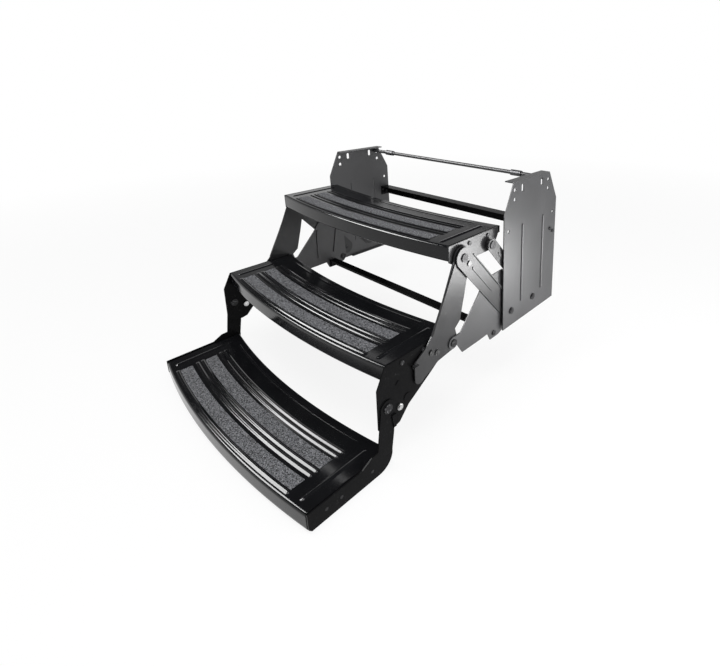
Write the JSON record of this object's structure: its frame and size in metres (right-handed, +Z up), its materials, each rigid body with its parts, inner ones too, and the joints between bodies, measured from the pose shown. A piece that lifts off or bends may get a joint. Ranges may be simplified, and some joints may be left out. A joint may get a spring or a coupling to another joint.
{
  "type": "folding camper entry step",
  "caption": "Folding entry step for a camper door: bowed steel treads on riveted links between two side plates, swung out for use, with a bottom tread that flips up.",
  "frame": {"origin": "middle of the mounting plane on top of the side plates, at their front edge", "axes": "+X across the doorway, +Y back under the floor, +Z up"},
  "size_m": [0.657, 0.731, 0.472],
  "materials": {
    "tread_paint": "gloss black paint over pressed steel",
    "grit_strip": "speckled grey grit, matt",
    "frame_paint": "satin black paint",
    "linkage_paint": "semi-gloss black paint",
    "bracket_paint": "semi-gloss black paint",
    "spacer_steel": "zinc plated",
    "dark_fixings": "painted over with the frame",
    "zinc_fixings": "bright zinc plate"
  },
  "bodies": {
    "housing": {"side_plate_left": "frame_paint", "side_plate_right": "frame_paint", "upper_tie_rod": "bracket_paint", "tie_rod_sleeves": "spacer_steel", "rear_crossbar": "bracket_paint", "crossbar_bolts": "dark_fixings", "link_pivot_bolts": "dark_fixings", "link_pivot_spacers": "spacer_steel", "arm_pivot_studs": "dark_fixings"},
    "front_links": {"front_link_left": "linkage_paint", "front_link_right": "linkage_paint", "front_link_rivets": "zinc_fixings"},
    "rear_links": {"rear_link_left": "linkage_paint", "rear_link_right": "linkage_paint"},
    "upper_step": {"upper_tread": "tread_paint", "upper_bracket_left": "linkage_paint", "upper_bracket_right": "linkage_paint", "upper_grip_strips": "grit_strip", "upper_tread_rivets": "dark_fixings", "upper_pivot_bolts": "zinc_fixings", "upper_pivot_spacers": "spacer_steel"},
    "lower_arms": {"lower_arm_left": "frame_paint", "lower_arm_right": "frame_paint", "lower_arm_rivets": "zinc_fixings", "arm_crossbar": "bracket_paint", "arm_crossbar_bolts": "dark_fixings"},
    "middle_step": {"hanger_left": "linkage_paint", "hanger_right": "linkage_paint", "hanger_rivets": "zinc_fixings", "hanger_spacers": "spacer_steel", "middle_tread": "tread_paint", "middle_bracket_left": "bracket_paint", "middle_bracket_right": "bracket_paint", "middle_grip_strips": "grit_strip", "middle_tread_rivets": "dark_fixings", "stop_bolts": "zinc_fixings", "step_pivot_bolts": "zinc_fixings"},
    "bottom_step": {"bottom_tread": "tread_paint", "bottom_bracket_left": "bracket_paint", "bottom_bracket_right": "bracket_paint", "bottom_grip_strips": "grit_strip", "bottom_tread_rivets": "dark_fixings"}
  },
  "joints": [
    {"name": "front_link_fold", "type": "hinge", "parent": "housing", "child": "front_links", "pos_m": [0, 0.031, -0.304], "axis": [-1, 0, 0], "range_deg": [0, 50]},
    {"name": "upper_step_level", "type": "hinge", "parent": "front_links", "child": "upper_step", "pos_m": [0, -0.123, -0.124], "axis": [1, 0, 0], "range_deg": [0, 50]},
    {"name": "rear_link_swing", "type": "hinge", "parent": "housing", "child": "rear_links", "pos_m": [0, 0.121, -0.304], "axis": [-1, 0, 0], "range_deg": [0, 50]},
    {"name": "hanger_swing", "type": "hinge", "parent": "upper_step", "child": "middle_step", "pos_m": [0, -0.123, -0.124], "axis": [-1, 0, 0], "range_deg": [0, 41.48]},
    {"name": "lower_arm_swing", "type": "hinge", "parent": "housing", "child": "lower_arms", "pos_m": [0, 0.014, -0.33], "axis": [-1, 0, 0], "range_deg": [0, 50.26]},
    {"name": "bottom_step_flip", "type": "hinge", "parent": "middle_step", "child": "bottom_step", "pos_m": [0, -0.323, -0.348], "axis": [-1, 0, 0], "range_deg": [0, 180]}
  ],
  "couplings": [
    {"joint": "upper_step_level", "follows": "front_link_fold", "ratio": 1},
    {"joint": "rear_link_swing", "follows": "front_link_fold", "ratio": 1},
    {"joint": "hanger_swing", "follows": "front_link_fold", "ratio": 0.8296},
    {"joint": "lower_arm_swing", "follows": "front_link_fold", "ratio": 1.0052}
  ]
}
